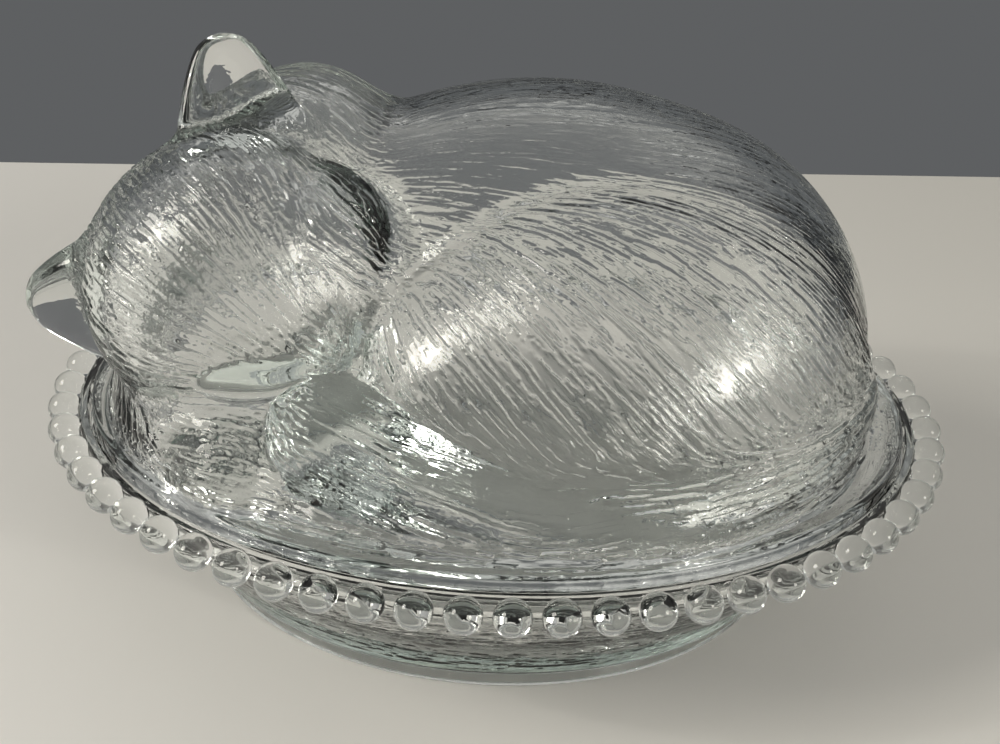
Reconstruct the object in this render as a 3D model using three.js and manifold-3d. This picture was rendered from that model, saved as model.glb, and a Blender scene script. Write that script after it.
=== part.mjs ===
// Covered dish of clear pressed glass, in two pieces: an oval footed dish with a beaded rim, and a hollow lid
// moulded as a cat asleep in a curl, which rests in a recess of that rim.
//
// Millimetres, +Z up. The origin is on the table under the middle of the dish. +X is the long axis, towards the
// cat's rump, and the cat's face, tail and haunch are on the -Y side.

import * as THREE from 'three';
import { mergeVertices } from 'three/addons/utils/BufferGeometryUtils.js';
import Module from 'manifold-3d';

const wasm = await Module();
wasm.setup();

const vec = (x, y, z) => new THREE.Vector3(x, y, z);

// ---- Driving dimensions ----

// Every oval of the dish is given by its half length, and ovalHalfWidth works out its half width.
const OVAL_DIFFERENCE = 19; // half length minus half width of the wide ovals
const OVAL_FULL_SIZE = 78; // half length from which that difference is constant

const BEAD_COUNT = 60;
const BEAD_RADIUS = 3.3;
const BEAD_RING = 85.55; // half length of the oval that the bead centres are on
const BEAD_HEIGHT = 34.3;
const BEAD_PHASE = 0.485; // first bead's place past the +X end, in bead spacings

const FOOT_REACH = 59.8;
const FOOT_HEIGHT = 3.6;
const FOOT_RECESS = 2.2; // depth of the hollow under the foot
const FLOOR_TOP = 7.2; // inside bottom of the bowl

const RIM_REACH = 82.9;
const RIM_BOTTOM = 29.2;
const RIM_TOP = 35.9;
const RECESS_REACH = 80.9; // wall of the recess that keeps the lid in place
const LEDGE = 33.5; // floor of that recess

const REST_GAP = 0.3; // between the lid's underside and the ledge
const FLANGE_REACH = 80.2;
const FLANGE_WIDTH_REACH = 61.2;
const FLANGE_BOTTOM = LEDGE + REST_GAP;
const FLANGE_THICKNESS = 4.4;
const FLANGE_EDGE = 1.1; // rounding of the flange's edge
const LID_WALL = 4.8;

const GLASS_COLOUR = 0xdfe5e0;

const OVAL_SEGMENTS = 64;
const SKIN_STEP = 5.5; // spacing of the points of the cat's skin, in mm
const HOLLOW_STEP = 11;

// ---- Solids ----

function toSolid(geometry) {
  const bare = geometry.index ? geometry.clone() : geometry;
  bare.deleteAttribute('normal');
  bare.deleteAttribute('uv');
  const merged = mergeVertices(bare, 1e-4);
  return new wasm.Manifold(new wasm.Mesh({
    numProp: 3,
    vertProperties: new Float32Array(merged.attributes.position.array),
    triVerts: new Uint32Array(merged.index.array),
  }));
}

function toMesh(solid, name) {
  const { vertProperties, triVerts } = solid.getMesh();
  const geometry = new THREE.BufferGeometry();
  geometry.setAttribute('position', new THREE.BufferAttribute(vertProperties, 3));
  geometry.setIndex(new THREE.BufferAttribute(triVerts, 1));
  geometry.computeVertexNormals();
  const material = new THREE.MeshStandardMaterial({
    color: GLASS_COLOUR, roughness: 0.05, metalness: 0, transparent: true, opacity: 0.4,
  });
  const mesh = new THREE.Mesh(geometry, material);
  mesh.name = name;
  return mesh;
}

// A profile of [half length, height] points turned about the upright axis.
function turned(profile, segments) {
  const points = profile.map(([reach, height]) => new THREE.Vector2(reach, height));
  return new THREE.LatheGeometry(points, segments).rotateX(Math.PI / 2);
}

function ovalHalfWidth(halfLength) {
  const share = Math.min(1, halfLength / OVAL_FULL_SIZE);
  return halfLength - OVAL_DIFFERENCE * share ** 1.4;
}

// Squeezes a turned, round geometry into the dish's oval.
function toOval(geometry) {
  const position = geometry.attributes.position;
  for (let i = 0; i < position.count; i += 1) {
    const reach = Math.hypot(position.getX(i), position.getY(i));
    if (reach > 0) {
      position.setY(i, (position.getY(i) / reach) * ovalHalfWidth(reach));
    }
  }
  return geometry;
}

// ---- Dish ----

// The outside from under the foot up to the rim, then down the inside of the bowl.
const dishProfile = [
  [0, FOOT_RECESS],
  [FOOT_REACH - 7, FOOT_RECESS],
  [FOOT_REACH - 5, 0],
  [FOOT_REACH - 1.2, 0],
  [FOOT_REACH, 1],
  [FOOT_REACH, FOOT_HEIGHT],
  [FOOT_REACH + 4, 9],
  [FOOT_REACH + 10, 17],
  [FOOT_REACH + 16.5, 24.5],
  [RIM_REACH - 2.1, RIM_BOTTOM],
  [RIM_REACH, RIM_BOTTOM + 1.4],
  [RIM_REACH, RIM_TOP - 0.7],
  [RIM_REACH - 0.7, RIM_TOP],
  [RECESS_REACH, RIM_TOP],
  [RECESS_REACH, LEDGE],
  [RECESS_REACH - 3.7, LEDGE],
  [RECESS_REACH - 4.5, LEDGE - 3.5],
  [FOOT_REACH + 11.7, 23.5],
  [FOOT_REACH + 4.2, 15],
  [FOOT_REACH - 3, 10],
  [FOOT_REACH - 18, FLOOR_TOP],
  [0, FLOOR_TOP],
];

// Bead centres at equal steps of arc length, starting at the +X end.
function beadCentres() {
  const ring = new THREE.EllipseCurve(0, 0, BEAD_RING, ovalHalfWidth(BEAD_RING), 0, 2 * Math.PI);
  ring.arcLengthDivisions = 720;
  return Array.from({ length: BEAD_COUNT }, (_, i) => ring.getPointAt((i + BEAD_PHASE) / BEAD_COUNT));
}

function makeDish() {
  let dish = toSolid(toOval(turned(dishProfile, OVAL_SEGMENTS)));
  for (const centre of beadCentres()) {
    const bead = new THREE.SphereGeometry(BEAD_RADIUS, 8, 6).rotateX(Math.PI / 2);
    bead.rotateZ(Math.atan2(centre.y, centre.x)).translate(centre.x, centre.y, BEAD_HEIGHT);
    dish = dish.add(toSolid(bead));
  }
  return toMesh(dish, 'dish');
}

// ---- The cat's form ----

// The cat's body and head are each a set of ellipsoids. Each gives a point's distance to its surface, negative
// inside, and softJoin runs two of them together with a fillet about as wide as its last argument.

function softJoin(a, b, width) {
  const closeness = Math.max(width - Math.abs(a - b), 0) / width;
  return Math.min(a, b) - (closeness * closeness * width) / 4;
}

// An ellipsoid, whose half sizes run along the three axes given, or along X, Y and Z.
function ellipsoid(centre, halfSizes, axes = [vec(1, 0, 0), vec(0, 1, 0), vec(0, 0, 1)]) {
  const toLocal = new THREE.Matrix3().set(
    ...axes[0].toArray(),
    ...axes[1].toArray(),
    ...axes[2].toArray(),
  );
  return (point) => {
    const scaled = point.clone().sub(centre).applyMatrix3(toLocal).divide(halfSizes);
    const reach = scaled.length();
    const slope = scaled.divide(halfSizes).length() + 1e-6;
    return (reach * (reach - 1)) / slope;
  };
}

const HEAD = vec(-50, -15, 69);
const EAR_LINE = vec(0.547, 0.423, 0.723).normalize(); // from the low ear to the high ear
const CROWN_LINE = vec(-0.797, 0.257, 0.547).normalize(); // from the head's middle to the crown
const FACE_LINE = vec(0.046, -0.875, 0.478).normalize(); // out of the cheek that faces up

const torso = ellipsoid(vec(8, 12, 44), vec(64, 46, 51.5));
const rump = ellipsoid(vec(33, 2, 48), vec(37, 43, 41));
const thigh = ellipsoid(vec(21, -14, 48), vec(48, 38, 40));
const knee = ellipsoid(vec(-5, -25, 50), vec(22, 20, 22));
const chest = ellipsoid(vec(-46, -3, 38), vec(29, 40, 27));
const shoulder = ellipsoid(vec(-34, 15, 44), vec(30, 33, 45));
const skirt = ellipsoid(vec(-2, 0, 36), vec(73.5, 57.5, 11));

function bodyDistance(point) {
  const trunk = softJoin(torso(point), rump(point), 8);
  const haunch = softJoin(thigh(point), knee(point), 8);
  const front = softJoin(chest(point), shoulder(point), 10);
  const body = softJoin(softJoin(trunk, haunch, 2), front, 6);
  return softJoin(body, skirt(point), 6);
}

const skull = ellipsoid(HEAD, vec(26, 23.5, 23), [EAR_LINE, CROWN_LINE, FACE_LINE]);
const cheek = ellipsoid(vec(-56, -24, 60), vec(19, 14, 14.5));
const muzzle = ellipsoid(vec(-37, -29, 62), vec(11, 11, 12));
const ruff = ellipsoid(vec(-31, -16, 70), vec(13, 12, 19));
const nape = ellipsoid(vec(-39, 12, 67), vec(23, 25, 30));

function headDistance(point) {
  const face = softJoin(softJoin(skull(point), cheek(point), 8), muzzle(point), 8);
  return softJoin(softJoin(face, ruff(point), 4), nape(point), 7);
}

// The tail is a roll that lies along the flange from the rump to the front paw, with a round end.
const TAIL_RADIUS = 10.2;
const TAIL_LINE = new THREE.CatmullRomCurve3([
  vec(54, 8, 50), vec(60, -12, 50), vec(56, -26, 49.5), vec(47, -37, 47.5), vec(33, -44, 44.8),
  vec(21, -46, 43), vec(8, -46.5, 40.5), vec(-12, -44.5, 45), vec(-29.3, -39.6, 50.6),
]);

// ---- Lid ----

// A round ball or dome about a middle, whose points are moved along their rays to where distance() is zero.
// lowestAngle is how far down from the top it reaches: 180 degrees makes a ball, less a dome closed by a cone
// whose point is at closingHeight.
function skin(distance, middle, step, lowestAngle = 180, closingHeight = 0) {
  const girth = 65;
  const rings = Math.round((girth * THREE.MathUtils.degToRad(lowestAngle)) / step);
  const profile = Array.from({ length: rings + 1 }, (_, i) => {
    const angle = THREE.MathUtils.degToRad((lowestAngle * i) / rings);
    return [i === 0 || angle === Math.PI ? 0 : Math.sin(angle), Math.cos(angle)];
  });
  if (lowestAngle < 180) {
    profile.push([0, -1]);
  }
  const dome = turned(profile.reverse(), Math.round((2 * Math.PI * girth) / step));
  const position = dome.attributes.position;
  for (let i = 0; i < position.count; i += 1) {
    const ray = vec(position.getX(i), position.getY(i), position.getZ(i)).normalize();
    const point = vec(middle.x, middle.y, closingHeight);
    if (lowestAngle === 180 || ray.z > -0.999) {
      let reach = 130;
      let gap = Infinity;
      for (let round = 0; round < 80 && gap > 0.01; round += 1) {
        gap = distance(point.copy(middle).addScaledVector(ray, reach));
        reach -= gap * 0.8;
      }
    }
    position.setXYZ(i, point.x, point.y, point.z);
  }
  return dome;
}

const BODY_MIDDLE = vec(0, 0, 36); // the body's whole skin can be seen from here
const HEAD_MIDDLE = vec(-42, -4, 65); // and the head's from here
const BODY_LOWEST_ANGLE = 95; // the body's skin runs a little below level, into the flange

function makeTail() {
  const section = new THREE.Shape();
  section.absarc(0, 0, TAIL_RADIUS, 0, 2 * Math.PI);
  const tube = new THREE.ExtrudeGeometry(section, { extrudePath: TAIL_LINE, steps: 24, curveSegments: 8 });
  const end = TAIL_LINE.getPoint(1);
  const tip = new THREE.SphereGeometry(TAIL_RADIUS, 16, 10).translate(end.x, end.y, end.z);
  return toSolid(tube).add(toSolid(tip));
}

// A solid, rounded ear, flattened from front to back. outward is the way its broad side faces.
function makeEar(base, tip, halfWidth, halfThickness, outward) {
  const length = base.distanceTo(tip);
  const tipRadius = 1.6;
  const root = 8; // length inside the head
  const profile = [[0, -root], [halfWidth, -root], [halfWidth, 0]];
  for (const share of [0.2, 0.4, 0.6, 0.8]) {
    profile.push([tipRadius + (halfWidth - tipRadius) * (1 - share) ** 0.58, length * share]);
  }
  profile.push([tipRadius, length - 1.2], [0, length]);
  const up = tip.clone().sub(base).normalize();
  const front = outward.clone().addScaledVector(up, -outward.dot(up)).normalize();
  const side = front.clone().cross(up);
  const placed = new THREE.Matrix4().makeBasis(side, front, up).setPosition(base);
  return toSolid(turned(profile, 20).scale(1, halfThickness / halfWidth, 1).applyMatrix4(placed));
}

function makePaw() {
  return toSolid(new THREE.SphereGeometry(1, 16, 10).scale(12, 13, 11).translate(-45, -35, 41));
}

function makeFlange() {
  const outline = new THREE.Shape();
  outline.absellipse(0, 0, FLANGE_REACH - FLANGE_EDGE, FLANGE_WIDTH_REACH - FLANGE_EDGE, 0, 2 * Math.PI);
  const plate = new THREE.ExtrudeGeometry(outline, {
    depth: FLANGE_THICKNESS - 2 * FLANGE_EDGE,
    bevelThickness: FLANGE_EDGE,
    bevelSize: FLANGE_EDGE,
    bevelSegments: 2,
    curveSegments: OVAL_SEGMENTS / 2,
  });
  return toSolid(plate.translate(0, 0, FLANGE_BOTTOM + FLANGE_EDGE));
}

function makeLid() {
  const flange = makeFlange();
  const below = new THREE.BoxGeometry(200, 200, 20).translate(0, 0, FLANGE_BOTTOM + 1 - 10);
  const highEar = makeEar(
    vec(-47.6, -6.2, 89), vec(-52.5, 0.5, 106.5), 12.3, 6, FACE_LINE.clone().add(vec(0.2, 0, 0)),
  );
  const lowEar = makeEar(
    HEAD.clone().addScaledVector(EAR_LINE, -16).addScaledVector(CROWN_LINE, 12),
    vec(-85, -20, 63.5), 14, 7,
    FACE_LINE.clone().addScaledVector(EAR_LINE, -0.27).addScaledVector(CROWN_LINE, -0.4),
  );
  const closing = FLANGE_BOTTOM - 3;
  const body = toSolid(skin(bodyDistance, BODY_MIDDLE, SKIN_STEP, BODY_LOWEST_ANGLE, closing));
  const head = toSolid(skin(headDistance, HEAD_MIDDLE, SKIN_STEP));
  const inBody = (point) => bodyDistance(point) + LID_WALL;
  const inHead = (point) => headDistance(point) + LID_WALL;
  const bodyHollow = toSolid(skin(inBody, BODY_MIDDLE, HOLLOW_STEP, BODY_LOWEST_ANGLE, closing));
  const headHollow = toSolid(skin(inHead, HEAD_MIDDLE, HOLLOW_STEP));
  const lid = body.add(makeTail()).add(makePaw()).subtract(toSolid(below))
    .add(head).add(highEar).add(lowEar).add(flange)
    .subtract(bodyHollow).subtract(headHollow);
  return toMesh(lid, 'cat_lid');
}

const coveredDish = new THREE.Group();
coveredDish.add(makeDish(), makeLid());

export default coveredDish;
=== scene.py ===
"""A covered dish of clear pressed glass: an oval footed dish with a beaded rim, and a hollow lid moulded as a
cat asleep in a curl, on a pale table in soft light. Metres, +Z up, in the CAD model's frame."""

import math

import bpy
import numpy as np
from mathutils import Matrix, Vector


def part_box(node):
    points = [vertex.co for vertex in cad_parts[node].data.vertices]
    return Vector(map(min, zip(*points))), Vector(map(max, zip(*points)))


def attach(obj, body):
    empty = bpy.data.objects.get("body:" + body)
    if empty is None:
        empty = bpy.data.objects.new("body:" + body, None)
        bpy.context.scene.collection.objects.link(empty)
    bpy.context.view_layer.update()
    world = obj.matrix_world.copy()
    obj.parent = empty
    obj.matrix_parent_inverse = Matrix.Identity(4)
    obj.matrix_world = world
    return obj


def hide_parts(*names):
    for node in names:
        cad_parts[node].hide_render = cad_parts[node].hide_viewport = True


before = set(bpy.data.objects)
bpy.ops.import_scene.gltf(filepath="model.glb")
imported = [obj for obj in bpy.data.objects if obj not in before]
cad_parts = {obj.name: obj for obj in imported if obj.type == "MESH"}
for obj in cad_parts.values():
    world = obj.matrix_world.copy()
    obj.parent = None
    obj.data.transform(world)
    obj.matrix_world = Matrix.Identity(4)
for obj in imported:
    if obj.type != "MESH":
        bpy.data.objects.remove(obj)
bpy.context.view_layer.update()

import openvdb
from mathutils import Matrix, Vector

# The forms below are worked out in millimetres and scaled to metres when a mesh is made.
MM = 0.001

SKIN_CELL = 0.28  # size of a mesh face on the cat's outside
HOLLOW_CELL = 1.5  # size of a mesh face on the lid's smooth inside
TINY = 1e-6  # keeps a division from failing where a length is zero

dish_high = np.array(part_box("dish")[1]) / MM
lid_low, lid_high = (np.array(corner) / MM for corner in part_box("cat_lid"))

# ---- Forms, as distances to a surface, negative inside ----


def unit(vector):
    """The direction of a vector, or of each row of an array."""
    vector = np.asarray(vector, dtype=np.float32)
    return vector / np.linalg.norm(vector, axis=-1, keepdims=True)


def soft_join(a, b, width):
    """Runs two forms together with a fillet about as wide as width."""
    closeness = np.maximum(width - np.abs(a - b), 0) / width
    return np.minimum(a, b) - closeness * closeness * (width / 4)


def soft_cut(a, b, width):
    """What a and b share, with a rounded edge."""
    return -soft_join(-a, -b, width)


def ellipsoid(points, centre, half_sizes, axes=None):
    """An ellipsoid whose half sizes lie along axes, or along X, Y and Z."""
    local = points - np.float32(centre)
    if axes is not None:
        local = local @ np.float32(axes).T
    scaled = local / np.float32(half_sizes)
    reach = np.linalg.norm(scaled, axis=1)
    slope = np.linalg.norm(scaled / np.float32(half_sizes), axis=1) + np.float32(TINY)
    return reach * (reach - 1) / slope


def curve_points(controls, count):
    """Points on a smooth curve through the control points."""
    controls = np.float32(controls)
    padded = np.vstack([2 * controls[0] - controls[1], controls, 2 * controls[-1] - controls[-2]])
    place = np.linspace(0, len(controls) - 1, count)
    start = np.minimum(place.astype(int), len(controls) - 2)
    t = (place - start)[:, None]
    p0, p1, p2, p3 = (padded[start + k] for k in range(4))
    return 0.5 * (2 * p1 + (p2 - p0) * t + (2 * p0 - 5 * p1 + 4 * p2 - p3) * t**2
                  + (3 * p1 - p0 - 3 * p2 + p3) * t**3)


FAR_AWAY = 1e3
ROLL_MARGIN = 8  # how far outside a roll its distance is worked out


def roll(points, line, radii):
    """A round roll along a line of points. Gives the distance and the line's nearest direction."""
    nearest = np.full(len(points), FAR_AWAY, dtype=np.float32)
    direction = np.zeros((len(points), 3), dtype=np.float32)
    margin = max(radii) + ROLL_MARGIN
    inside = np.all((points > line.min(axis=0) - margin) & (points < line.max(axis=0) + margin), axis=1)
    close = points[inside]
    best, best_direction = nearest[inside], direction[inside]
    for start, end, radius in zip(line[:-1], line[1:], radii):
        along = end - start
        share = np.clip((close - start) @ along / (along @ along), 0, 1)
        gap = np.linalg.norm(close - start - share[:, None] * along, axis=1) - np.float32(radius)
        closer = gap < best
        best[closer] = gap[closer]
        best_direction[closer] = unit(along)
    nearest[inside] = best
    direction[inside] = best_direction
    return nearest, direction


def oval_plate(points, half_length, half_width, low, high, edge):
    """A flat oval plate with a rounded edge."""
    reach = np.hypot(points[:, 0] / half_length, points[:, 1] / half_width)
    slope = np.hypot(points[:, 0] / half_length**2, points[:, 1] / half_width**2) + np.float32(TINY)
    sideways = reach * (reach - 1) / slope + edge
    upright = np.abs(points[:, 2] - (low + high) / 2) - (high - low) / 2 + edge
    outside = np.hypot(np.maximum(sideways, 0), np.maximum(upright, 0))
    return outside + np.minimum(np.maximum(sideways, upright), 0) - edge


# ---- The cat ----

HEAD = np.float32([-50, -15, 69])
EAR_LINE = unit([0.547, 0.423, 0.723])  # from the low ear to the high ear
CROWN_LINE = unit([-0.797, 0.257, 0.547])  # from the head's middle to the crown
FACE_LINE = unit([0.046, -0.875, 0.478])  # out of the cheek that faces up
HEAD_AXES = (EAR_LINE, CROWN_LINE, FACE_LINE)

TAIL_LINE = curve_points([
    (54, 8, 50), (60, -12, 50), (56, -26, 49.5), (47, -37, 47.5), (33, -44, 44.8), (21, -46, 43),
    (8, -46.5, 40.5), (-12, -44.5, 45), (-29.3, -39.6, 50.6),
], 25)
TAIL_RADII = np.full(len(TAIL_LINE) - 1, 10.2)


def trunk(points):
    """The back and the rump."""
    torso = ellipsoid(points, (8, 12, 44), (64, 46, 51.5))
    rump = ellipsoid(points, (33, 2, 48), (37, 43, 41))
    return soft_join(torso, rump, 8)


def haunch(points):
    """The folded hind leg on the side that faces out."""
    thigh = ellipsoid(points, (21, -14, 48), (48, 38, 40))
    knee = ellipsoid(points, (-5, -25, 50), (22, 20, 22))
    return soft_join(thigh, knee, 8)


def front(points):
    """The chest and the shoulder."""
    chest = ellipsoid(points, (-46, -3, 38), (29, 40, 27))
    shoulder = ellipsoid(points, (-34, 15, 44), (30, 33, 45))
    return soft_join(chest, shoulder, 10)


def skirt(points):
    """The low swell where the cat runs out into the flange."""
    return ellipsoid(points, (-2, 0, 36), (73.5, 57.5, 11))


def skull(points):
    """The round of the head with its cheek."""
    ball = ellipsoid(points, HEAD, (26, 23.5, 23), HEAD_AXES)
    cheek = ellipsoid(points, (-51.5, -24.5, 60.5), (16, 13, 13.5))
    return soft_join(ball, cheek, 8)


def nape(points):
    """The back of the neck."""
    return ellipsoid(points, (-39, 12, 67), (23, 25, 30))


def head(points):
    """The head and neck without eyes, nose, mouth and ears."""
    muzzle = ellipsoid(points, (-37, -29, 62), (11, 11, 12))
    ruff = ellipsoid(points, (-31, -16, 70), (13, 12, 19))
    return soft_join(soft_join(soft_join(skull(points), muzzle, 8), ruff, 4), nape(points), 7)


def paw(points):
    """The front paw under the chin."""
    return ellipsoid(points, (-45, -35, 41), (12, 13, 11))


EYE_LINE = unit([0.965, -0.14, 0.22])
EYE_OUT = unit([-0.1, -0.98, 0.1])


def near_eye(points):
    """The closed eye on the cheek that faces out: a smooth almond-shaped lid."""
    axes = (EYE_LINE, unit(np.cross(EYE_OUT, EYE_LINE)), EYE_OUT)
    return ellipsoid(points, (-41.5, -37.3, 59.9), (10.8, 5.0, 4.7), axes)


def far_eye(points):
    """The brow of the other eye."""
    return ellipsoid(points, (-35, -22, 81.5), (4.5, 6, 7))


def nose(points):
    return ellipsoid(points, (-30.5, -33.5, 63.5), (4, 4, 5))


MOUTH_LINE = curve_points([(-32, -39.3, 61.8), (-30, -38.5, 61), (-27, -35.5, 59.6)], 6)
MOUTH_RADII = np.full(len(MOUTH_LINE) - 1, 0.5)


def details(points):
    """The whole head with its features."""
    form = soft_join(head(points), near_eye(points), 0.9)
    form = soft_join(form, far_eye(points), 5)
    form = soft_join(form, nose(points), 5)
    mouth, _ = roll(points, MOUTH_LINE, MOUTH_RADII)
    return soft_cut(form, -mouth, 0.8)


EAR_ROOT = 7  # how far an ear reaches into the head
EAR_TIP_HALF_WIDTH = 1.8
EAR_TIP_HALF_THICKNESS = 1.3
EAR_NARROWING = 0.58


def ear(points, base, tip, half_width, half_thickness, thinning, lean, outward):
    """A rounded ear, flat on the inner side that faces outward.

    thinning says how fast it gets thinner towards its tip, and lean tilts the flat side.
    """
    length = np.linalg.norm(tip - base)
    up = (tip - base) / length
    facing = unit(outward - up * (outward @ up))
    local = (points - base) @ np.float32([np.cross(up, facing), facing, up]).T
    rise = np.clip(local[:, 2] / length, -0.3, 1)
    taper = np.clip(1 - rise, 0, 1.3)
    width = EAR_TIP_HALF_WIDTH + (half_width - EAR_TIP_HALF_WIDTH) * taper**EAR_NARROWING
    thickness = EAR_TIP_HALF_THICKNESS + (half_thickness - EAR_TIP_HALF_THICKNESS) * taper**thinning
    across = np.hypot(local[:, 0] / width, local[:, 1] / thickness)
    form = (across - 1) * np.minimum(width, thickness)
    form = soft_cut(form, local[:, 2] - length, 2.5)
    form = soft_cut(form, -local[:, 2] - EAR_ROOT, 2)
    return soft_cut(form, local[:, 1] - thickness * 0.35 - lean * local[:, 0], 2.2)


def ears(points):
    high = ear(
        points,
        base=np.float32([-47.6, -6.2, 89]),
        tip=np.float32([-52.5, 0.5, 106.5]),
        half_width=12.3,
        half_thickness=6.4,
        thinning=0.45,
        lean=0,
        outward=FACE_LINE + np.float32([0.2, 0, 0]),
    )
    low = ear(
        points,
        base=HEAD - EAR_LINE * 19 + CROWN_LINE * 12,
        tip=np.float32([-85.5, -21, 61.5]),
        half_width=15,
        half_thickness=8,
        thinning=0.7,
        lean=0.35,
        outward=FACE_LINE - EAR_LINE * 0.27 - CROWN_LINE * 0.4,
    )
    return np.minimum(high, low)


FLANGE_LOW = float(lid_low[2])
FLANGE_THICKNESS = 4.4
FLANGE_ROUNDING = 1.1
FLANGE_HIGH = FLANGE_LOW + FLANGE_THICKNESS
FLANGE_LENGTH = float(lid_high[0])
FLANGE_WIDTH = float(lid_high[1])


def cat_form(points):
    """The whole cat, before it is cut level with the flange's underside."""
    tail, _ = roll(points, TAIL_LINE, TAIL_RADII)
    body = soft_join(soft_join(trunk(points), haunch(points), 1.5), front(points), 6)
    body = soft_join(body, details(points), 5)
    body = soft_join(body, paw(points), 3)
    body = soft_join(body, tail, 0.6)
    body = soft_join(body, ears(points), 2)
    return soft_join(body, skirt(points), 6)


def cat_outside(points):
    """The cat on its flange."""
    plate = oval_plate(points, FLANGE_LENGTH, FLANGE_WIDTH, FLANGE_LOW, FLANGE_HIGH, FLANGE_ROUNDING)
    return np.maximum(soft_join(cat_form(points), plate, 1.5), FLANGE_LOW - points[:, 2])


LID_WALL = 4.8
THINNEST_WALL = 3.4  # what is left in the creases of the outside


def cat_hollow(points):
    """The lid's smooth inside, nearly parallel to the outside."""
    body = soft_join(soft_join(trunk(points), haunch(points), 8), front(points), 12)
    body = soft_join(body, skirt(points), 8)
    cheek = ellipsoid(points, (-34, -20, 67), (16, 16, 18))
    inner_head = soft_join(soft_join(skull(points), cheek, 14), nape(points), 14)
    inner = soft_join(body, inner_head, 12) + LID_WALL
    return soft_cut(inner, cat_form(points) + THINNEST_WALL, 5)


# ---- Meshes from forms ----


BLOCK_CELLS = 4
BLOCK_HALF_DIAGONAL = 0.87
BLOCK_MARGIN = 1.2  # a form's value can differ this much from the true distance
BATCH = 400_000


def mesh_form(form, low, high, cell):
    """The quads of the surface where form() is zero, about one cell wide, inside the box given.

    form() is worked out in blocks first, and in single cells only in the blocks near the surface.
    """
    blocks = BLOCK_CELLS
    low, high = np.float32(low) - 2 * cell, np.float32(high) + 2 * cell
    block = cell * blocks
    shape = np.ceil((high - low) / block).astype(int)
    places = np.stack(np.meshgrid(*(np.arange(n) for n in shape), indexing="ij"), axis=-1).reshape(-1, 3)
    centres = (low + (places + 0.5) * block).astype(np.float32)
    rough = form(centres)
    dense = np.broadcast_to(rough[:, None], (len(rough), blocks**3)).copy()
    near = np.abs(rough) < block * BLOCK_HALF_DIAGONAL + BLOCK_MARGIN
    steps = np.stack(np.meshgrid(*[np.arange(blocks)] * 3, indexing="ij"), axis=-1).reshape(-1, 3)
    offsets = ((steps + 0.5 - blocks / 2) * cell).astype(np.float32)
    fine = (centres[near][:, None, :] + offsets).reshape(-1, 3)
    batches = np.array_split(fine, max(1, len(fine) // BATCH))
    values = np.concatenate([form(batch) for batch in batches])
    dense[near] = values.reshape(-1, blocks**3)
    dense = dense.reshape(*shape, blocks, blocks, blocks).transpose(0, 3, 1, 4, 2, 5)
    dense = np.ascontiguousarray(dense.reshape(shape * blocks))
    grid = openvdb.FloatGrid(3 * cell)
    grid.copyFromArray(np.clip(dense, -3 * cell, 3 * cell))
    points, quads = grid.convertToQuads(0.0)
    return (low + (points + 0.5) * cell).astype(np.float32), quads


def slopes(form, points, step=0.3):
    """The outward normal of form() at each point."""
    parts = []
    for axis in np.eye(3, dtype=np.float32) * step:
        parts.append(form(points + axis) - form(points - axis))
    return unit(np.stack(parts, axis=1) + 1e-9)


def make_piece(name, points, faces, smooth=True):
    """A new object of the points, in millimetres, and faces given."""
    mesh = bpy.data.meshes.new(name)
    mesh.from_pydata((points * MM).tolist(), [], faces if isinstance(faces, list) else faces.tolist())
    mesh.polygons.foreach_set("use_smooth", [smooth] * len(mesh.polygons))
    mesh.validate()
    piece = bpy.data.objects.new(name, mesh)
    bpy.context.scene.collection.objects.link(piece)
    return piece


def combine(piece, tool, operation):
    """Joins tool to piece, or cuts it out, and drops tool."""
    step = piece.modifiers.new(operation, "BOOLEAN")
    step.operation = operation
    step.solver = "MANIFOLD"
    step.object = tool
    depsgraph = bpy.context.evaluated_depsgraph_get()
    mesh = bpy.data.meshes.new_from_object(piece.evaluated_get(depsgraph))
    piece.modifiers.clear()
    old = piece.data
    piece.data = mesh
    mesh.name = old.name
    bpy.data.meshes.remove(old)
    bpy.data.objects.remove(tool)


# ---- Moulded strokes ----

NOISE_SIZE = 64  # the noise repeats after this many units
NOISE = np.random.default_rng(11).standard_normal([NOISE_SIZE] * 3).astype(np.float32)


def noise_at(points):
    """Smooth noise with one random value per unit of length."""
    base = np.floor(points)
    t = points - base
    t = t * t * (3 - 2 * t)
    here = base.astype(int) % NOISE_SIZE
    beyond = (here + 1) % NOISE_SIZE
    total = 0
    for corner in range(8):
        far = [(corner >> k) & 1 for k in range(3)]
        index = tuple((beyond if far[k] else here)[:, k] for k in range(3))
        weight = 1
        for k in range(3):
            weight = weight * (t[:, k] if far[k] else 1 - t[:, k])
        total = total + NOISE[index] * weight
    return total


def strokes(points, flow, length, width):
    """Streaks of the given length and width that run along flow, with a mean of 0 and a spread of 1."""
    count = max(5, int(length / width))
    total = 0
    for place in np.linspace(-length / 2, length / 2, count):
        total = total + noise_at((points + flow * np.float32(place)) / width)
    return (total - total.mean()) / total.std()


def ramp(value, low, high):
    """0 below low, 1 above high, and smooth in between."""
    t = np.clip((value - low) / (high - low), 0, 1)
    return t * t * (3 - 2 * t)


HAIR_LENGTH = 9
FINE_WIDTH, LONG_WIDTH = 0.42, 0.55
OTHER_NOISE = 200  # takes the long strokes from another part of the noise
RIPPLE_SHARE = 0.2


def relief(points, flow, length):
    """Height of the stroke texture: thin grooves of mixed length over a soft ripple."""
    fine = strokes(points, flow, length * 0.7, FINE_WIDTH)
    long = strokes(points + OTHER_NOISE, flow, length * 1.5, LONG_WIDTH)
    mixed = (fine + long) / 1.41
    return RIPPLE_SHARE * np.tanh(mixed) - ramp(-mixed, -0.2, 1.1)


HAIR_BLEND = 1.2  # over how many millimetres the hair of one part turns into that of the next


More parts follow.
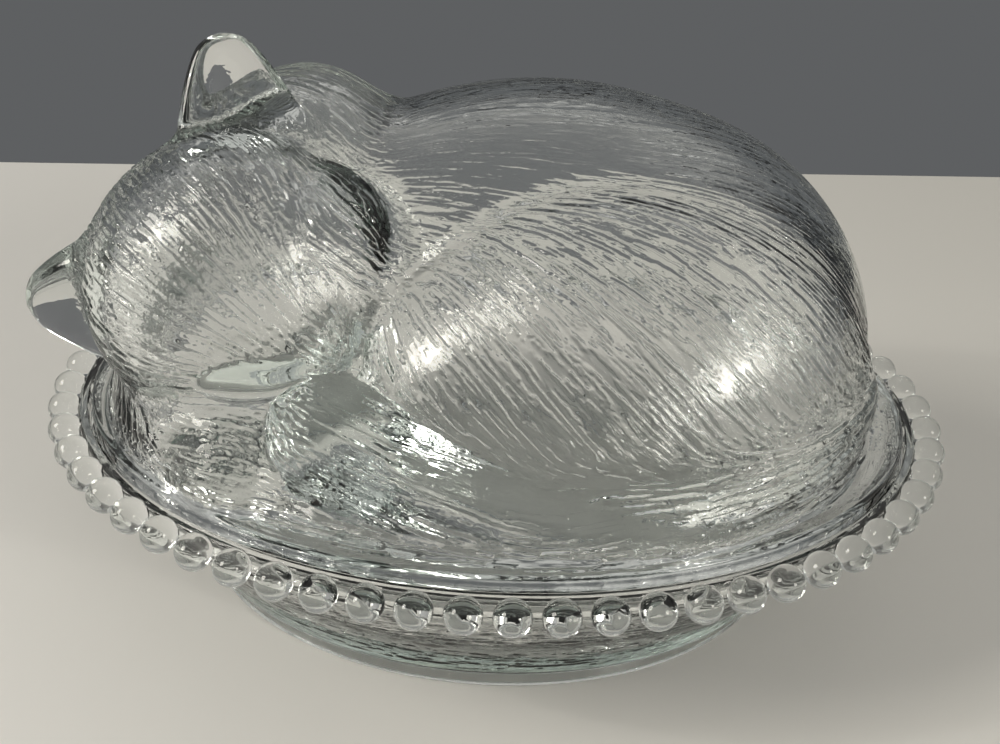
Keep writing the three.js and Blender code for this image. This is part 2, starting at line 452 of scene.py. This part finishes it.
def flow_along(points, normals):
    """The direction that the moulded hair lies in at each point of the cat, and its depth there."""
    over_head = unit(np.float32([-27, -36, 57]) - points)
    over_head = np.where((points[:, 0] > -33)[:, None], np.float32([0.85, -0.35, -0.3]), over_head)
    over_head = np.where((points[:, 1] > 2)[:, None], np.float32([0.75, -0.1, -0.6]), over_head)
    left = ramp(-points[:, 0], 56, 66)[:, None]
    down_chest = np.float32([0.9, -0.1, -0.2]) * (1 - left) + np.float32([0.3, -0.3, -0.9]) * left
    tail, tail_direction = roll(points, TAIL_LINE, TAIL_RADII)
    around = unit(np.stack([-points[:, 1] * 1.3, points[:, 0] / 1.3, np.zeros(len(points))], axis=1) + TINY)
    low_haunch = 0.13 + 0.17 * ramp(78 - points[:, 2], 0, 26)
    # Each part's distance, the way its hair lies, and the hair's depth.
    fields = (
        (trunk(points), np.float32([1, 0.1, -0.35]), 0.045),
        (haunch(points), np.float32([0.7, -0.1, -0.7]), low_haunch),
        (head(points), over_head, 0.22),
        (front(points), down_chest, 0.22),
        (paw(points), np.float32([0.95, -0.1, -0.1]), 0.22),
        (tail - 2, -tail_direction, 0.34),
        (skirt(points) - 0.5, around, 0.26),
        (points[:, 2] - FLANGE_HIGH - 3, around, 0.24),
    )
    closest = np.min([field[0] for field in fields], axis=0)
    flow, depth, shares = 0, 0, 0
    for distance, direction, deep in fields:
        share = np.exp(-(distance - closest) / HAIR_BLEND)
        flow = flow + share[:, None] * direction
        depth = depth + share * deep
        shares = shares + share
    flow = flow - normals * np.sum(flow * normals, axis=1, keepdims=True)
    return unit(flow + TINY), depth / shares


def hair_mask(points):
    """1 where the cat has hair, 0 on its ears and eyelids and on the flange."""
    body = np.minimum(np.minimum(trunk(points), haunch(points)), head(points))
    mask = ramp(ears(points) - body + 1.5, 0, 1.5)
    mask = mask * ramp(near_eye(points), 0.1, 0.8) * ramp(far_eye(points), 0.1, 0.8)
    reach = np.hypot(points[:, 0] / FLANGE_LENGTH, points[:, 1] / FLANGE_WIDTH)
    low = ramp(points[:, 2], FLANGE_LOW + 0.5, FLANGE_LOW + 2.5)
    return mask * low * ramp(1 - reach, 0.005, 0.03) ** np.where(points[:, 2] < FLANGE_HIGH + 1, 1, 0)


BELOW_FLANGE = 18  # how far the hollow's form runs on below the lid, so that it cuts the lid open


def make_lid():
    """The cat on its flange, with hair strokes outside and the hollow cut out."""
    points, quads = mesh_form(cat_outside, lid_low, lid_high, SKIN_CELL)
    normals = slopes(cat_outside, points)
    flow, depth = flow_along(points, normals)
    height = depth * relief(points, flow, HAIR_LENGTH) * hair_mask(points)
    lid = make_piece("lid_glass", points + normals * height[:, None], quads)
    hollow_points, hollow_quads = mesh_form(cat_hollow, lid_low - (0, 0, BELOW_FLANGE), lid_high, HOLLOW_CELL)
    hollow = make_piece("lid_hollow", hollow_points, hollow_quads)
    combine(lid, hollow, "DIFFERENCE")
    return lid


# ---- The dish ----

OVAL_DIFFERENCE = 19  # half length less half width
OVAL_FULL_SIZE = 78  # the half length from which that difference stays the same
BEAD_COUNT = 60
BEAD_RADIUS = 3.3
BEAD_RING = float(dish_high[0]) - BEAD_RADIUS
BEAD_HEIGHT = 34.3
BEAD_PHASE = 0.485  # where the first bead lies, as a share of the space between two beads
BEAD_ROWS, BEAD_SIDES = 14, 24
AROUND = 1200  # mesh faces around the dish
WALL_ROW, PLAIN_ROW = 0.3, 0.9  # height of a mesh face on the stroked outer wall, and elsewhere
WALL_STROKE_DEPTH, WALL_STROKE_LENGTH = 0.14, 3.5


def oval_half_width(half_length):
    """Half the width of the dish's oval where half its length is given: rounder near the middle."""
    share = np.minimum(1, half_length / OVAL_FULL_SIZE)
    return half_length - OVAL_DIFFERENCE * share**1.4


def oval_angles(count, phase=0.0):
    """Angles that cut the rim's oval into equal arcs."""
    angle = np.linspace(0, 2 * math.pi, 4001)
    ring = np.stack([BEAD_RING * np.cos(angle), oval_half_width(BEAD_RING) * np.sin(angle)], axis=1)
    length = np.concatenate([[0], np.cumsum(np.linalg.norm(np.diff(ring, axis=0), axis=1))])
    return np.interp((np.arange(count) + phase) / count * length[-1], length, angle)


# Half length, height and rounding of each corner, from under the foot up to the rim and down the inside.
DISH_PROFILE = [
    (0, 2.2, 0), (52.8, 2.2, 1), (54.6, 0, 0.8), (58.8, 0, 0.9), (59.8, 1.6, 0.9), (59.9, 3.8, 0.8),
    (63.5, 9, 4), (70, 17, 9), (76.5, 24.5, 9), (80.8, 29.2, 1.5), (82.9, 30.6, 1.2), (82.9, 35.9, 0.9),
    (80.9, 35.9, 0.4), (80.9, 33.5, 0.3), (77.2, 33.5, 1.0), (76.4, 30, 3), (71.5, 23.5, 6), (64, 15, 9),
    (52, 8, 12), (0, 7.2, 0),
]


def rounded_profile(corners):
    """The outline through the corners, each rounded by its radius, with more points on the outer wall."""
    corners = [np.array(c, dtype=float) for c in corners]
    outline = [corners[0][:2]]
    for before, corner, after in zip(corners, corners[1:], corners[2:]):
        here, radius = corner[:2], corner[2]
        back, on = before[:2] - here, after[:2] - here
        reach = min(radius, np.linalg.norm(back) * 0.45, np.linalg.norm(on) * 0.45)
        start, end = here + back / np.linalg.norm(back) * reach, here + on / np.linalg.norm(on) * reach
        for t in np.linspace(0, 1, 7):
            outline.append((1 - t) ** 2 * start + 2 * t * (1 - t) * here + t**2 * end)
    outline.append(corners[-1][:2])
    outline = np.array(outline)
    dense = [outline[0]]
    for k, (start, end) in enumerate(zip(outline[:-1], outline[1:])):
        on_wall = k < np.argmax(outline[:, 1] > 30) and start[1] > 3
        parts = max(1, int(np.ceil(np.linalg.norm(end - start) / (WALL_ROW if on_wall else PLAIN_ROW))))
        dense.extend(start + (end - start) * (part + 1) / parts for part in range(parts))
    return np.array(dense)


def beads_piece():
    """The rim's beads as one mesh of separate balls."""
    angles = oval_angles(BEAD_COUNT, BEAD_PHASE)
    falls = np.linspace(0, math.pi, BEAD_ROWS + 1)[1:-1]
    turns = np.linspace(0, 2 * math.pi, BEAD_SIDES, endpoint=False)
    ball = np.array([[math.sin(fall) * math.cos(turn), math.sin(fall) * math.sin(turn), math.cos(fall)]
                     for fall in falls for turn in turns] + [[0, 0, 1], [0, 0, -1]])
    top, bottom = len(ball) - 2, len(ball) - 1
    faces = []
    for side in range(BEAD_SIDES):
        beside = (side + 1) % BEAD_SIDES
        faces.append([top, side, beside])
        for row in range(0, (BEAD_ROWS - 2) * BEAD_SIDES, BEAD_SIDES):
            below = row + BEAD_SIDES
            faces.append([row + side, below + side, below + beside, row + beside])
        last = (BEAD_ROWS - 2) * BEAD_SIDES
        faces.append([last + side, bottom, last + beside])
    points, all_faces = [], []
    for k, angle in enumerate(angles):
        centre = [BEAD_RING * math.cos(angle), oval_half_width(BEAD_RING) * math.sin(angle), BEAD_HEIGHT]
        points.append(ball * BEAD_RADIUS + centre)
        all_faces.extend([[i + k * len(ball) for i in face] for face in faces])
    return make_piece("beads", np.concatenate(points), all_faces)


def make_dish():
    """The dish with strokes on its outer wall and the beads joined to its rim."""
    profile = rounded_profile(DISH_PROFILE)
    rows = profile[1:-1]
    angles = oval_angles(AROUND)
    x = rows[:, :1] * np.cos(angles)
    y = oval_half_width(rows[:, :1]) * np.sin(angles)
    z = np.repeat(rows[:, 1:], AROUND, axis=1)
    points = np.stack([x, y, z], axis=-1)
    along = unit(np.roll(points, -1, axis=1) - np.roll(points, 1, axis=1))
    up = np.gradient(points, axis=0)
    normals = unit(np.cross(along, up) + 1e-9)
    outer = np.arange(len(rows))[:, None] < np.argmax(rows[:, 1] > 35)
    mask = outer * ramp(z, 5.0, 7.0) * ramp(29.6 - z, 0, 1.5)
    flat = points.reshape(-1, 3).astype(np.float32)
    flow = along.reshape(-1, 3).astype(np.float32)
    height = relief(flat, flow, WALL_STROKE_LENGTH).reshape(z.shape)
    points = points + normals * (WALL_STROKE_DEPTH * height * mask)[..., None]
    vertices = np.concatenate([points.reshape(-1, 3), [[0, 0, profile[0][1]], [0, 0, profile[-1][1]]]])
    here = np.arange(len(rows) - 1)[:, None] * AROUND + np.arange(AROUND)
    beside = np.arange(len(rows) - 1)[:, None] * AROUND + (np.arange(AROUND) + 1) % AROUND
    quads = np.stack([here, beside, beside + AROUND, here + AROUND], axis=-1).reshape(-1, 4).tolist()
    under, floor = len(vertices) - 2, len(vertices) - 1
    last = (len(rows) - 1) * AROUND
    fans = [[under, (s + 1) % AROUND, s] for s in range(AROUND)]
    fans += [[floor, last + s, last + (s + 1) % AROUND] for s in range(AROUND)]
    dish = make_piece("dish_glass", vertices, quads + fans)
    combine(dish, beads_piece(), "UNION")
    return dish


# ---- Materials ----


def empty_tree(owner, output_type):
    """The cleared node tree of a material or a world, and its new output node."""
    owner.use_nodes = True
    tree = owner.node_tree
    tree.nodes.clear()
    return tree, tree.nodes.new(output_type)


def feed(tree, node, inputs):
    """Sets each input of a node to a value, or links it to another node's output."""
    for key, value in inputs.items():
        if isinstance(value, bpy.types.NodeSocket):
            tree.links.new(value, node.inputs[key])
        else:
            node.inputs[key].default_value = value
    return node


def add_node(tree, kind, inputs):
    return feed(tree, tree.nodes.new(kind), inputs)


def noise(tree, place, scale, detail=2):
    inputs = {"Scale": scale, "Detail": detail, "Vector": place}
    return add_node(tree, "ShaderNodeTexNoise", inputs).outputs["Fac"]


def blend_colours(tree, factor, first, second):
    """A mix of two colours, each given as three numbers or as another node's output."""
    mix = tree.nodes.new("ShaderNodeMix")
    mix.data_type = "RGBA"
    inputs = {"Factor": factor}
    for key, colour in (("A", first), ("B", second)):
        inputs[key] = (*colour, 1) if isinstance(colour, tuple) else colour
    return feed(tree, mix, inputs).outputs["Result"]


def fade(tree, value, low, high, top=1):
    """0 below low, top above high."""
    step = tree.nodes.new("ShaderNodeMapRange")
    step.interpolation_type = "SMOOTHSTEP"
    inputs = {"From Min": low, "From Max": high, "To Max": top, "Value": value}
    return feed(tree, step, inputs).outputs["Result"]


CLEAR, HANDLED = (1, 1, 1), (0.985, 0.99, 0.985)
GLASS_TINT, TINT_DENSITY = (0.7, 0.86, 0.8, 1), 14
GLASS_INDEX = 1.5
FILM_ROUGHNESS = 0.03
FILM_FROM, FILM_TO = 0.4, 0.75  # the noise values between which the film of handling sets in
RIPPLE_STRENGTH, RIPPLE_HEIGHT = 0.12, 0.0002


def glass_material():
    """Clear pressed glass with a faint green tint, a fine ripple and an uneven thin film from handling."""
    material = bpy.data.materials.new("clear_pressed_glass")
    tree, output = empty_tree(material, "ShaderNodeOutputMaterial")
    place = tree.nodes.new("ShaderNodeTexCoord").outputs["Object"]
    ripple = noise(tree, place, 260, 3)
    bump_inputs = {"Strength": RIPPLE_STRENGTH, "Distance": RIPPLE_HEIGHT, "Height": ripple}
    bump = add_node(tree, "ShaderNodeBump", bump_inputs)
    handling = noise(tree, place, 45, 5)
    film = fade(tree, handling, FILM_FROM, FILM_TO)
    glass = add_node(tree, "ShaderNodeBsdfPrincipled", {
        "Transmission Weight": 1.0,
        "IOR": GLASS_INDEX,
        "Normal": bump.outputs["Normal"],
        "Roughness": fade(tree, handling, FILM_FROM, FILM_TO, FILM_ROUGHNESS),
        "Base Color": blend_colours(tree, film, CLEAR, HANDLED),
    })
    tint = add_node(tree, "ShaderNodeVolumeAbsorption", {"Color": GLASS_TINT, "Density": TINT_DENSITY})
    feed(tree, output, {"Surface": glass.outputs["BSDF"], "Volume": tint.outputs["Volume"]})
    return material


# Painted shading on the table: the colours of its corners, lightest at the front left where the light comes
# from, darker to the right and towards the back.
TABLE_LEFT_NEAR, TABLE_LEFT_FAR = (0.86, 0.85, 0.82), (0.70, 0.69, 0.66)
TABLE_RIGHT_NEAR, TABLE_RIGHT_FAR = (0.68, 0.665, 0.62), (0.50, 0.49, 0.455)
TABLE_PATCH, PATCH_SHARE = (0.5, 0.49, 0.46), 0.12


def table_material():
    """A pale matt top with painted shading, lightest near the front left where the light falls and darker to
    the right and towards the back, with faint cloudy patches.
    """
    material = bpy.data.materials.new("pale_table")
    tree, output = empty_tree(material, "ShaderNodeOutputMaterial")
    place = tree.nodes.new("ShaderNodeTexCoord").outputs["Object"]
    split = add_node(tree, "ShaderNodeSeparateXYZ", {"Vector": place})
    # Painted shading: the top darkens from left to right and from front to back, as if lit from the front
    # left.
    across = fade(tree, split.outputs["X"], -0.3, 0.3)
    away = fade(tree, split.outputs["Y"], -0.25, 0.25)
    left = blend_colours(tree, away, TABLE_LEFT_NEAR, TABLE_LEFT_FAR)
    right = blend_colours(tree, away, TABLE_RIGHT_NEAR, TABLE_RIGHT_FAR)
    painted_shading = blend_colours(tree, across, left, right)
    patches = fade(tree, noise(tree, place, 6), 0.4, 0.7, PATCH_SHARE)
    colour = blend_colours(tree, patches, painted_shading, TABLE_PATCH)
    surface = add_node(tree, "ShaderNodeBsdfPrincipled", {"Roughness": 0.55, "Base Color": colour})
    feed(tree, output, {"Surface": surface.outputs["BSDF"]})
    return material


# ---- Surroundings ----

TABLE_HALF_WIDTH, TABLE_NEAR, TABLE_FAR, TABLE_UNDERSIDE = 1.4, -1.6, 0.2065, -0.03
TABLE_TURN = 5.8  # degrees


def make_table(material):
    """A pale table whose far edge lies a little behind the dish."""
    side, near, far = TABLE_HALF_WIDTH, TABLE_NEAR, TABLE_FAR
    corners = [(-side, near), (side, near), (side, far), (-side, far)]
    points = np.array([(x, y, z) for z in (0, TABLE_UNDERSIDE) for x, y in corners]) / MM
    faces = [[0, 1, 2, 3], [4, 7, 6, 5], [1, 5, 4, 0], [2, 6, 5, 1], [3, 7, 6, 2], [0, 4, 7, 3]]
    table = make_piece("table", points, faces, False)
    table.rotation_euler = (0, 0, math.radians(TABLE_TURN))
    table.data.materials.append(material)


WALL_BEHIND, OTHER_WALLS, CEILING = (0.112, 0.116, 0.12), (0.36, 0.355, 0.34), (0.50, 0.49, 0.47)
LEFT_WINDOW, RIGHT_WINDOW = (-0.78, -0.25, 0.55), (0.66, -0.63, 0.38)
# The direction towards each bright window, its half angle in degrees, and its brightness.
WINDOWS = ((LEFT_WINDOW, 12, 11), (RIGHT_WINDOW, 8, 11))
WINDOW_COLOUR = (1, 0.96, 0.88)
WINDOW_EDGE = 0.006  # softness of a window's edge, as a difference in the angle's cosine


def make_world():
    """A room with a dark grey wall behind the table, paler walls elsewhere and a bright soft ceiling."""
    world = bpy.data.worlds.new("room")
    bpy.context.scene.world = world
    tree, output = empty_tree(world, "ShaderNodeOutputWorld")
    place = tree.nodes.new("ShaderNodeTexCoord").outputs["Generated"]
    split = add_node(tree, "ShaderNodeSeparateXYZ", {"Vector": place})
    walls = blend_colours(tree, fade(tree, split.outputs["Y"], 0.35, 0.6), OTHER_WALLS, WALL_BEHIND)
    room = blend_colours(tree, fade(tree, split.outputs["Z"], 0.35, 0.6), walls, CEILING)
    for direction, half_angle, brightness in WINDOWS:
        facing = tree.nodes.new("ShaderNodeVectorMath")
        facing.operation = "DOT_PRODUCT"
        feed(tree, facing, {0: place, 1: Vector(direction).normalized()})
        edge = math.cos(math.radians(half_angle))
        glow = fade(tree, facing.outputs["Value"], edge - WINDOW_EDGE, edge + WINDOW_EDGE)
        room = blend_colours(tree, glow, room, tuple(brightness * c for c in WINDOW_COLOUR))
    background = add_node(tree, "ShaderNodeBackground", {"Color": room})
    feed(tree, output, {"Surface": background.outputs["Background"]})


LAMP_DISTANCE, LAMP_SIZE, LAMP_COLOUR = 1.2, 0.04, (1, 0.96, 0.9)


def add_lamp(name, direction, power):
    """A small round lamp in a window's direction, which gives the glass its sharp glints."""
    data = bpy.data.lights.new(name, "AREA")
    data.shape = "DISK"
    data.size = LAMP_SIZE
    data.energy = power
    data.color = LAMP_COLOUR
    lamp = bpy.data.objects.new(name, data)
    place = Vector(direction).normalized() * LAMP_DISTANCE
    lamp.location = place
    lamp.rotation_euler = (-place).to_track_quat("-Z", "Y").to_euler()
    bpy.context.scene.collection.objects.link(lamp)


CAMERA_ELEVATION, CAMERA_ROLL = 30.56, 3.17  # degrees
CAMERA_DISTANCE, CAMERA_TARGET = 0.2679, (0, 0, 0.0406)
CAMERA_SIDEWAYS = -0.0043  # how far left of straight ahead the camera stands
LENS, SENSOR_WIDTH = 48.23, 36  # mm


def add_camera():
    elevation = math.radians(CAMERA_ELEVATION)
    back = Vector((CAMERA_SIDEWAYS, -math.cos(elevation), math.sin(elevation))).normalized()
    right = Vector((0, 0, 1)).cross(back).normalized()
    turn = Matrix((right, back.cross(right), back)).transposed().to_4x4()
    place = Matrix.Translation(Vector(CAMERA_TARGET) + back * CAMERA_DISTANCE)
    data = bpy.data.cameras.new("camera")
    data.lens = LENS
    data.sensor_width = SENSOR_WIDTH
    camera = bpy.data.objects.new("camera", data)
    camera.matrix_world = place @ turn @ Matrix.Rotation(math.radians(CAMERA_ROLL), 4, "Z")
    bpy.context.scene.collection.objects.link(camera)
    bpy.context.scene.camera = camera


# ---- Scene ----

glass = glass_material()
for make, node, body in ((make_dish, "dish", "dish"), (make_lid, "cat_lid", "lid")):
    made = make()
    made.data.materials.clear()
    made.data.materials.append(glass)
    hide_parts(node)
    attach(made, body)

make_table(table_material())
make_world()
add_lamp("left_lamp", LEFT_WINDOW, 1.5)
add_lamp("right_lamp", RIGHT_WINDOW, 1.2)
add_camera()

scene = bpy.context.scene
scene.view_settings.view_transform = "Standard"
scene.cycles.sample_clamp_indirect = 0
scene.cycles.max_bounces = 24
scene.cycles.transmission_bounces = 24
